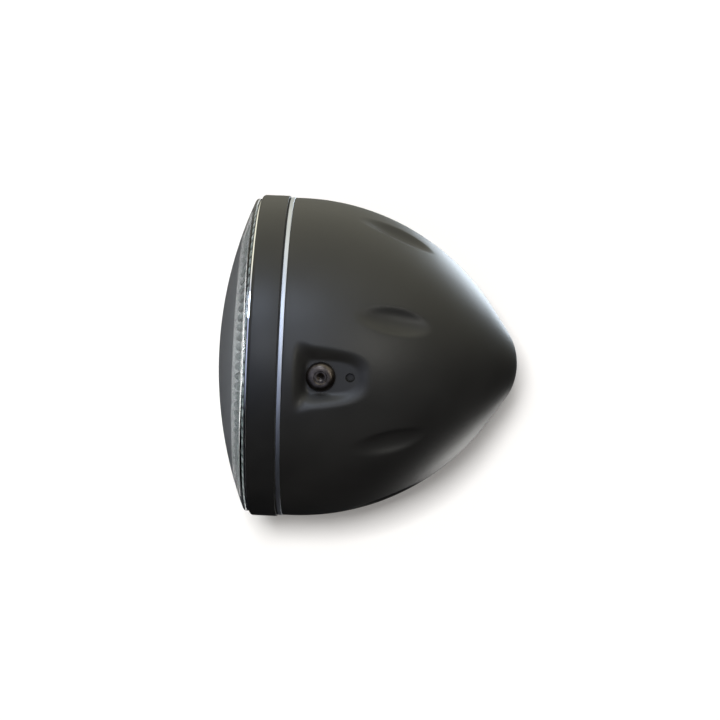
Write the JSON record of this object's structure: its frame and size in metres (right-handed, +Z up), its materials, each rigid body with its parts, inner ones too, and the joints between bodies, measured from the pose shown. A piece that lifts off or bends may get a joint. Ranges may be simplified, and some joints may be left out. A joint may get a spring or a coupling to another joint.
{
  "type": "round motorcycle headlight",
  "caption": "Round side-mounted motorcycle headlight: bullet-shaped black bowl with leaf-shaped scoops, bright band, black trim ring and a domed lens over a fluted ring.",
  "frame": {"origin": "on the lamp's axis, level with the two side bolts", "axes": "+Z up, -Y along the lamp's axis toward the road (the lens side), +Y toward the tail, X along the line of the two side bolts"},
  "size_m": [0.1616, 0.1509, 0.1616],
  "materials": {
    "bowl_paint": "satin black powder coat, fine grain",
    "trim_paint": "satin black paint on a turned ring",
    "band_metal": "satin anodised, turned",
    "lens_glass": "clear pressed glass",
    "flute_clear": "clear moulded prisms",
    "black_rubber": "matt black rubber",
    "reflector_metal": "bright vacuum-metallised",
    "spring_steel": "plain spring steel",
    "zinc_steel": "zinc plated",
    "bulb_glass": "clear quartz glass",
    "bulb_metal": "plated pressed steel",
    "filament_metal": "tungsten and nickel wire",
    "contact_metal": "plated brass blades",
    "connector_plastic": "black moulded plastic",
    "bolt_black": "black oxide, lightly oiled"
  },
  "bodies": {
    "root": {"bowl": "bowl_paint", "mouth_ring": "band_metal", "mouth_ring_screws": "zinc_steel", "mouth_seal": "black_rubber", "trim_ring": "trim_paint", "rim_screw": "bolt_black", "rim_nut": "zinc_steel", "lens": "lens_glass", "lens_seal": "black_rubber", "fluted_ring": "flute_clear", "reflector": "reflector_metal", "snap_ring": "spring_steel", "bulb_glass": "bulb_glass", "bulb_base": "bulb_metal", "bulb_filaments": "filament_metal", "bulb_contacts": "contact_metal", "bulb_clip": "spring_steel", "clip_screw": "zinc_steel", "bulb_connector": "connector_plastic", "dust_boot": "black_rubber", "parking_bulb": "bulb_glass", "parking_bulb_holder": "connector_plastic", "side_bolt_right": "bolt_black", "side_bolt_left": "bolt_black", "side_nut_right": "zinc_steel", "side_nut_left": "zinc_steel", "cable_grommet": "black_rubber"}
  },
  "joints": []
}
